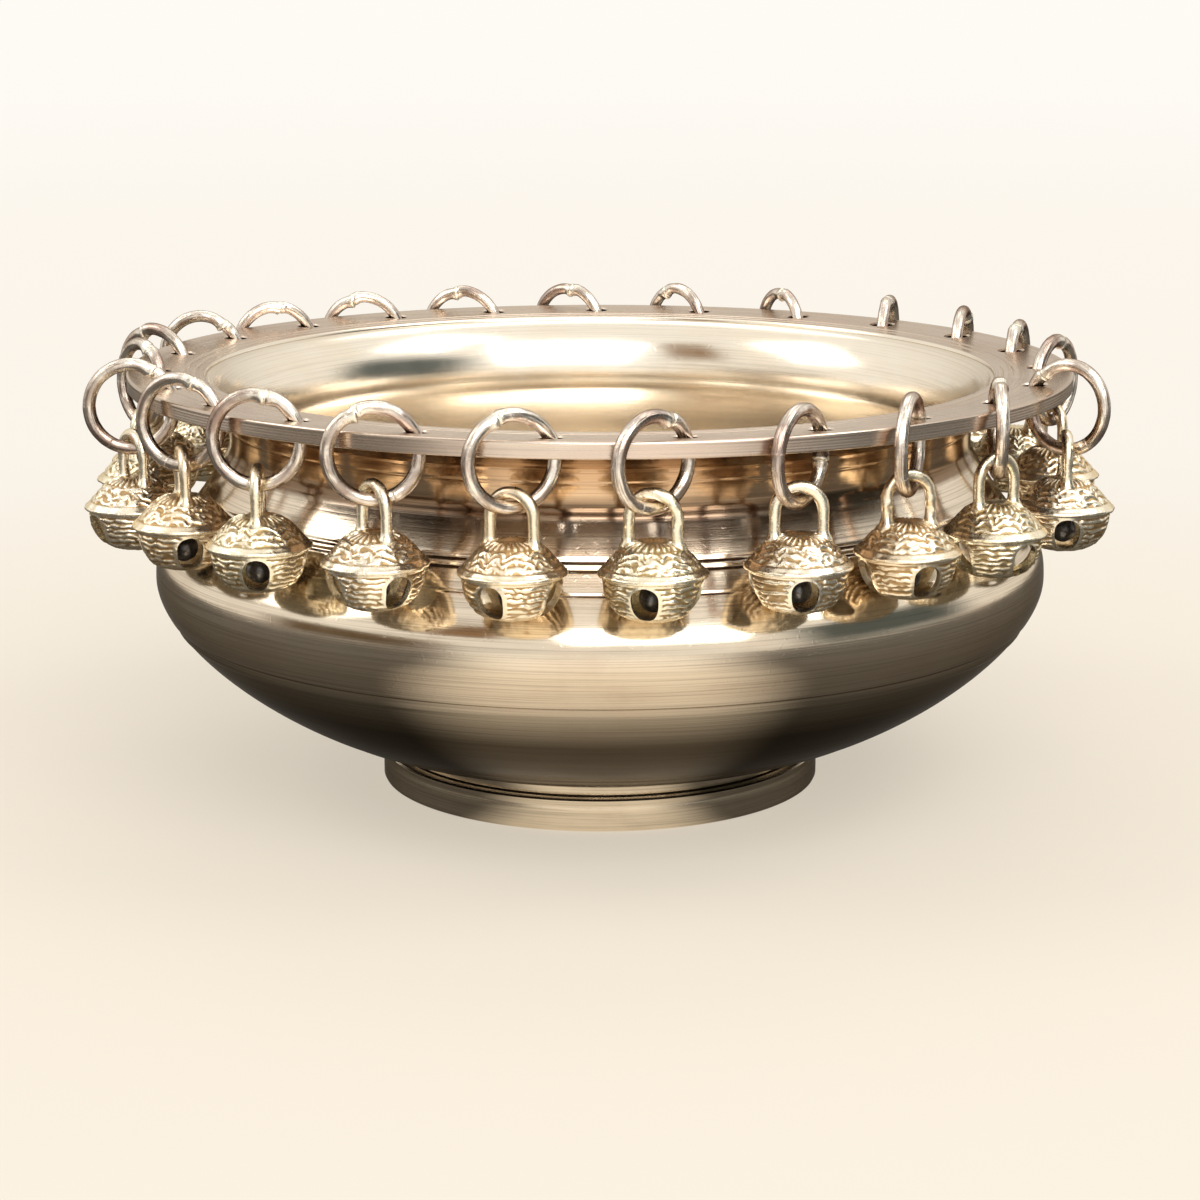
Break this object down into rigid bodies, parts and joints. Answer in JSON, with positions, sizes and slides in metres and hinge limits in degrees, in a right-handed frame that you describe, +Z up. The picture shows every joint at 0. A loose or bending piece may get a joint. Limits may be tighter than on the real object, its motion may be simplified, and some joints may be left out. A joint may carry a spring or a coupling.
{
  "type": "urli bowl",
  "caption": "Round brass urli bowl on a low foot, with wire rings through its flanged rim and a small slotted bell hung on each ring.",
  "frame": {"origin": "centre of the foot's underside, on the bowl's turning axis, on the surface that the bowl stands on", "axes": "+Z up along the bowl's turning axis, -Y towards the front that the picture shows, +X to the right seen from the front"},
  "size_m": [0.22, 0.2187, 0.0972],
  "materials": {
    "turned_brass": "lathe-turned and buffed",
    "wire_brass": "drawn wire, tarnished",
    "cast_brass": "sand cast, rough",
    "iron": "bare, dull"
  },
  "bodies": {
    "bowl": {"bowl": "turned_brass"},
    "ring_01": {"ring_01": "wire_brass"},
    "bell_01": {"bell_01": "cast_brass"},
    "pellet_01": {"pellet_01": "iron"},
    "ring_02": {"ring_02": "wire_brass"},
    "bell_02": {"bell_02": "cast_brass"},
    "pellet_02": {"pellet_02": "iron"},
    "ring_03": {"ring_03": "wire_brass"},
    "bell_03": {"bell_03": "cast_brass"},
    "pellet_03": {"pellet_03": "iron"},
    "ring_04": {"ring_04": "wire_brass"},
    "bell_04": {"bell_04": "cast_brass"},
    "pellet_04": {"pellet_04": "iron"},
    "ring_05": {"ring_05": "wire_brass"},
    "bell_05": {"bell_05": "cast_brass"},
    "pellet_05": {"pellet_05": "iron"},
    "ring_06": {"ring_06": "wire_brass"},
    "bell_06": {"bell_06": "cast_brass"},
    "pellet_06": {"pellet_06": "iron"},
    "ring_07": {"ring_07": "wire_brass"},
    "bell_07": {"bell_07": "cast_brass"},
    "pellet_07": {"pellet_07": "iron"},
    "ring_08": {"ring_08": "wire_brass"},
    "bell_08": {"bell_08": "cast_brass"},
    "pellet_08": {"pellet_08": "iron"},
    "ring_09": {"ring_09": "wire_brass"},
    "bell_09": {"bell_09": "cast_brass"},
    "pellet_09": {"pellet_09": "iron"},
    "ring_10": {"ring_10": "wire_brass"},
    "bell_10": {"bell_10": "cast_brass"},
    "pellet_10": {"pellet_10": "iron"},
    "ring_11": {"ring_11": "wire_brass"},
    "bell_11": {"bell_11": "cast_brass"},
    "pellet_11": {"pellet_11": "iron"},
    "ring_12": {"ring_12": "wire_brass"},
    "bell_12": {"bell_12": "cast_brass"},
    "pellet_12": {"pellet_12": "iron"},
    "ring_13": {"ring_13": "wire_brass"},
    "bell_13": {"bell_13": "cast_brass"},
    "pellet_13": {"pellet_13": "iron"},
    "ring_14": {"ring_14": "wire_brass"},
    "bell_14": {"bell_14": "cast_brass"},
    "ring_15": {"ring_15": "wire_brass"},
    "bell_15": {"bell_15": "cast_brass"},
    "ring_16": {"ring_16": "wire_brass"},
    "bell_16": {"bell_16": "cast_brass"},
    "ring_17": {"ring_17": "wire_brass"},
    "bell_17": {"bell_17": "cast_brass"},
    "ring_18": {"ring_18": "wire_brass"},
    "bell_18": {"bell_18": "cast_brass"},
    "ring_19": {"ring_19": "wire_brass"},
    "bell_19": {"bell_19": "cast_brass"},
    "ring_20": {"ring_20": "wire_brass"},
    "bell_20": {"bell_20": "cast_brass"},
    "ring_21": {"ring_21": "wire_brass"},
    "bell_21": {"bell_21": "cast_brass"},
    "ring_22": {"ring_22": "wire_brass"},
    "bell_22": {"bell_22": "cast_brass"},
    "ring_23": {"ring_23": "wire_brass"},
    "bell_23": {"bell_23": "cast_brass"}
  },
  "joints": [
    {"name": "ring_01_swing", "type": "hinge", "parent": "bowl", "child": "ring_01", "pos_m": [-0.09314, 0.01713, 0.0897], "axis": [-0.8441, 0.5361, 0], "range_deg": [-1, 7]},
    {"name": "bell_01_swing", "type": "hinge", "parent": "ring_01", "child": "bell_01", "pos_m": [-0.09992, 0.02144, 0.07835], "axis": [-0.8441, 0.5361, 0], "range_deg": [-1, 9]},
    {"name": "pellet_01_roll", "type": "hinge", "parent": "bell_01", "child": "pellet_01", "pos_m": [-0.09992, 0.02144, 0.0663], "axis": [-0.8441, 0.5361, 0], "range_deg": [-35, 35]},
    {"name": "ring_02_swing", "type": "hinge", "parent": "bowl", "child": "ring_02", "pos_m": [-0.0943, -0.00864, 0.0897], "axis": [-0.605, 0.7962, 0], "range_deg": [0, 22]},
    {"name": "bell_02_swing", "type": "hinge", "parent": "ring_02", "child": "bell_02", "pos_m": [-0.09917, -0.00224, 0.07835], "axis": [-0.605, 0.7962, 0], "range_deg": [0, 22]},
    {"name": "pellet_02_roll", "type": "hinge", "parent": "bell_02", "child": "pellet_02", "pos_m": [-0.09917, -0.00224, 0.0663], "axis": [-0.605, 0.7962, 0], "range_deg": [-35, 35]},
    {"name": "ring_03_swing", "type": "hinge", "parent": "bowl", "child": "ring_03", "pos_m": [-0.08848, -0.03376, 0.0897], "axis": [-0.9998, 0.0195, 0], "range_deg": [-8, 7]},
    {"name": "bell_03_swing", "type": "hinge", "parent": "ring_03", "child": "bell_03", "pos_m": [-0.09651, -0.0336, 0.07835], "axis": [-0.9998, 0.0195, 0], "range_deg": [-12, 9]},
    {"name": "pellet_03_roll", "type": "hinge", "parent": "bell_03", "child": "pellet_03", "pos_m": [-0.09651, -0.0336, 0.0663], "axis": [-0.9998, 0.0195, 0], "range_deg": [-35, 35]},
    {"name": "ring_04_swing", "type": "hinge", "parent": "bowl", "child": "ring_04", "pos_m": [-0.07609, -0.05638, 0.0897], "axis": [-0.9307, 0.3659, 0], "range_deg": [0, 22]},
    {"name": "bell_04_swing", "type": "hinge", "parent": "ring_04", "child": "bell_04", "pos_m": [-0.08357, -0.05344, 0.07835], "axis": [-0.9307, 0.3659, 0], "range_deg": [0, 22]},
    {"name": "pellet_04_roll", "type": "hinge", "parent": "bell_04", "child": "pellet_04", "pos_m": [-0.08357, -0.05344, 0.0663], "axis": [-0.9307, 0.3659, 0], "range_deg": [-35, 35]},
    {"name": "ring_05_swing", "type": "hinge", "parent": "bowl", "child": "ring_05", "pos_m": [-0.05806, -0.07482, 0.0897], "axis": [-0.9949, 0.1013, 0], "range_deg": [0, 22]},
    {"name": "bell_05_swing", "type": "hinge", "parent": "ring_05", "child": "bell_05", "pos_m": [-0.06605, -0.074, 0.07835], "axis": [-0.9949, 0.1013, 0], "range_deg": [0, 22]},
    {"name": "pellet_05_roll", "type": "hinge", "parent": "bell_05", "child": "pellet_05", "pos_m": [-0.06605, -0.074, 0.0663], "axis": [-0.9949, 0.1013, 0], "range_deg": [-35, 35]},
    {"name": "ring_06_swing", "type": "hinge", "parent": "bowl", "child": "ring_06", "pos_m": [-0.03449, -0.0882, 0.0897], "axis": [-0.9828, -0.1847, 0], "range_deg": [0, 22]},
    {"name": "bell_06_swing", "type": "hinge", "parent": "ring_06", "child": "bell_06", "pos_m": [-0.04239, -0.08968, 0.07835], "axis": [-0.9828, -0.1847, 0], "range_deg": [0, 22]},
    {"name": "pellet_06_roll", "type": "hinge", "parent": "bell_06", "child": "pellet_06", "pos_m": [-0.04239, -0.08968, 0.0663], "axis": [-0.9828, -0.1847, 0], "range_deg": [-35, 35]},
    {"name": "ring_07_swing", "type": "hinge", "parent": "bowl", "child": "ring_07", "pos_m": [-0.00909, -0.09426, 0.0897], "axis": [-0.895, -0.4461, 0], "range_deg": [0, 22]},
    {"name": "bell_07_swing", "type": "hinge", "parent": "ring_07", "child": "bell_07", "pos_m": [-0.01628, -0.09785, 0.07835], "axis": [-0.895, -0.4461, 0], "range_deg": [0, 22]},
    {"name": "pellet_07_roll", "type": "hinge", "parent": "bell_07", "child": "pellet_07", "pos_m": [-0.01628, -0.09785, 0.0663], "axis": [-0.895, -0.4461, 0], "range_deg": [-35, 35]},
    {"name": "ring_08_swing", "type": "hinge", "parent": "bowl", "child": "ring_08", "pos_m": [0.01587, -0.09336, 0.0897], "axis": [-0.7473, -0.6645, 0], "range_deg": [0, 22]},
    {"name": "bell_08_swing", "type": "hinge", "parent": "ring_08", "child": "bell_08", "pos_m": [0.00986, -0.0987, 0.07835], "axis": [-0.7473, -0.6645, 0], "range_deg": [0, 22]},
    {"name": "pellet_08_roll", "type": "hinge", "parent": "bell_08", "child": "pellet_08", "pos_m": [0.00986, -0.0987, 0.0663], "axis": [-0.7473, -0.6645, 0], "range_deg": [-35, 35]},
    {"name": "ring_09_swing", "type": "hinge", "parent": "bowl", "child": "ring_09", "pos_m": [0.04151, -0.08512, 0.0897], "axis": [-0.53, -0.848, 0], "range_deg": [0, 22]},
    {"name": "bell_09_swing", "type": "hinge", "parent": "ring_09", "child": "bell_09", "pos_m": [0.03725, -0.09193, 0.07835], "axis": [-0.53, -0.848, 0], "range_deg": [0, 22]},
    {"name": "pellet_09_roll", "type": "hinge", "parent": "bell_09", "child": "pellet_09", "pos_m": [0.03725, -0.09193, 0.0663], "axis": [-0.53, -0.848, 0], "range_deg": [-35, 35]},
    {"name": "ring_10_swing", "type": "hinge", "parent": "bowl", "child": "ring_10", "pos_m": [0.06144, -0.07207, 0.0897], "axis": [-0.3015, -0.9535, 0], "range_deg": [0, 22]},
    {"name": "bell_10_swing", "type": "hinge", "parent": "ring_10", "child": "bell_10", "pos_m": [0.05902, -0.07973, 0.07835], "axis": [-0.3015, -0.9535, 0], "range_deg": [0, 22]},
    {"name": "pellet_10_roll", "type": "hinge", "parent": "bell_10", "child": "pellet_10", "pos_m": [0.05902, -0.07973, 0.0663], "axis": [-0.3015, -0.9535, 0], "range_deg": [-35, 35]},
    {"name": "ring_11_swing", "type": "hinge", "parent": "bowl", "child": "ring_11", "pos_m": [0.0786, -0.05282, 0.0897], "axis": [-0.0331, -0.9995, 0], "range_deg": [0, 22]},
    {"name": "bell_11_swing", "type": "hinge", "parent": "ring_11", "child": "bell_11", "pos_m": [0.07834, -0.06085, 0.07835], "axis": [-0.0331, -0.9995, 0], "range_deg": [0, 22]},
    {"name": "pellet_11_roll", "type": "hinge", "parent": "bell_11", "child": "pellet_11", "pos_m": [0.07834, -0.06085, 0.0663], "axis": [-0.0331, -0.9995, 0], "range_deg": [-35, 35]},
    {"name": "ring_12_swing", "type": "hinge", "parent": "bowl", "child": "ring_12", "pos_m": [0.08994, -0.02965, 0.0897], "axis": [0.7633, -0.6461, 0], "range_deg": [-8, 7]},
    {"name": "bell_12_swing", "type": "hinge", "parent": "ring_12", "child": "bell_12", "pos_m": [0.09607, -0.03484, 0.07835], "axis": [0.7633, -0.6461, 0], "range_deg": [-12, 9]},
    {"name": "pellet_12_roll", "type": "hinge", "parent": "bell_12", "child": "pellet_12", "pos_m": [0.09607, -0.03484, 0.0663], "axis": [0.7633, -0.6461, 0], "range_deg": [-35, 35]},
    {"name": "ring_13_swing", "type": "hinge", "parent": "bowl", "child": "ring_13", "pos_m": [0.0946, -0.00429, 0.0897], "axis": [0.5678, 0.8232, 0], "range_deg": [-22, 0]},
    {"name": "bell_13_swing", "type": "hinge", "parent": "ring_13", "child": "bell_13", "pos_m": [0.09917, 0.00233, 0.07835], "axis": [0.5678, 0.8232, 0], "range_deg": [-22, 0]},
    {"name": "pellet_13_roll", "type": "hinge", "parent": "bell_13", "child": "pellet_13", "pos_m": [0.09917, 0.00233, 0.0663], "axis": [0.5678, 0.8232, 0], "range_deg": [-35, 35]},
    {"name": "ring_14_swing", "type": "hinge", "parent": "bowl", "child": "ring_14", "pos_m": [0.09225, 0.0214, 0.0897], "axis": [0.3246, 0.9458, 0], "range_deg": [-22, 0]},
    {"name": "bell_14_swing", "type": "hinge", "parent": "ring_14", "child": "bell_14", "pos_m": [0.09486, 0.029, 0.07835], "axis": [0.3246, 0.9458, 0], "range_deg": [-22, 0]},
    {"name": "ring_15_swing", "type": "hinge", "parent": "bowl", "child": "ring_15", "pos_m": [0.08306, 0.04549, 0.0897], "axis": [0.2805, 0.9599, 0], "range_deg": [-22, 0]},
    {"name": "bell_15_swing", "type": "hinge", "parent": "ring_15", "child": "bell_15", "pos_m": [0.08531, 0.05321, 0.07835], "axis": [0.2805, 0.9599, 0], "range_deg": [-22, 0]},
    {"name": "ring_16_swing", "type": "hinge", "parent": "bowl", "child": "ring_16", "pos_m": [0.0677, 0.06621, 0.0897], "axis": [0.2695, 0.963, 0], "range_deg": [-7, 7]},
    {"name": "bell_16_swing", "type": "hinge", "parent": "ring_16", "child": "bell_16", "pos_m": [0.06987, 0.07395, 0.07835], "axis": [0.2695, 0.963, 0], "range_deg": [-9, 9]},
    {"name": "ring_17_swing", "type": "hinge", "parent": "bowl", "child": "ring_17", "pos_m": [0.04847, 0.08136, 0.0897], "axis": [-0.4573, 0.8893, 0], "range_deg": [-22, 0]},
    {"name": "bell_17_swing", "type": "hinge", "parent": "ring_17", "child": "bell_17", "pos_m": [0.0448, 0.0885, 0.07835], "axis": [-0.4573, 0.8893, 0], "range_deg": [-22, 0]},
    {"name": "ring_18_swing", "type": "hinge", "parent": "bowl", "child": "ring_18", "pos_m": [0.02472, 0.09142, 0.0897], "axis": [-0.6803, 0.7329, 0], "range_deg": [-22, 0]},
    {"name": "bell_18_swing", "type": "hinge", "parent": "ring_18", "child": "bell_18", "pos_m": [0.01926, 0.09731, 0.07835], "axis": [-0.6803, 0.7329, 0], "range_deg": [-22, 0]},
    {"name": "ring_19_swing", "type": "hinge", "parent": "bowl", "child": "ring_19", "pos_m": [-0.00086, 0.0947, 0.0897], "axis": [-0.8528, 0.5222, 0], "range_deg": [-22, 0]},
    {"name": "bell_19_swing", "type": "hinge", "parent": "ring_19", "child": "bell_19", "pos_m": [-0.00771, 0.09889, 0.07835], "axis": [-0.8528, 0.5222, 0], "range_deg": [-22, 0]},
    {"name": "ring_20_swing", "type": "hinge", "parent": "bowl", "child": "ring_20", "pos_m": [-0.02637, 0.09095, 0.0897], "axis": [-0.9621, 0.2728, 0], "range_deg": [-22, 0]},
    {"name": "bell_20_swing", "type": "hinge", "parent": "ring_20", "child": "bell_20", "pos_m": [-0.03411, 0.09315, 0.07835], "axis": [-0.9621, 0.2728, 0], "range_deg": [-22, 0]},
    {"name": "ring_21_swing", "type": "hinge", "parent": "bowl", "child": "ring_21", "pos_m": [-0.04994, 0.08046, 0.0897], "axis": [-1, 0.0031, 0], "range_deg": [-22, 0]},
    {"name": "bell_21_swing", "type": "hinge", "parent": "ring_21", "child": "bell_21", "pos_m": [-0.05797, 0.08049, 0.07835], "axis": [-1, 0.0031, 0], "range_deg": [-22, 0]},
    {"name": "ring_22_swing", "type": "hinge", "parent": "bowl", "child": "ring_22", "pos_m": [-0.06979, 0.06401, 0.0897], "axis": [-0.9637, -0.2668, 0], "range_deg": [-22, 0]},
    {"name": "bell_22_swing", "type": "hinge", "parent": "ring_22", "child": "bell_22", "pos_m": [-0.07754, 0.06186, 0.07835], "axis": [-0.9637, -0.2668, 0], "range_deg": [-22, 0]},
    {"name": "ring_23_swing", "type": "hinge", "parent": "bowl", "child": "ring_23", "pos_m": [-0.08447, 0.04281, 0.0897], "axis": [-0.9964, 0.0849, 0], "range_deg": [-7, 1]},
    {"name": "bell_23_swing", "type": "hinge", "parent": "ring_23", "child": "bell_23", "pos_m": [-0.09248, 0.04349, 0.07835], "axis": [-0.9964, 0.0849, 0], "range_deg": [-9, 1]}
  ]
}
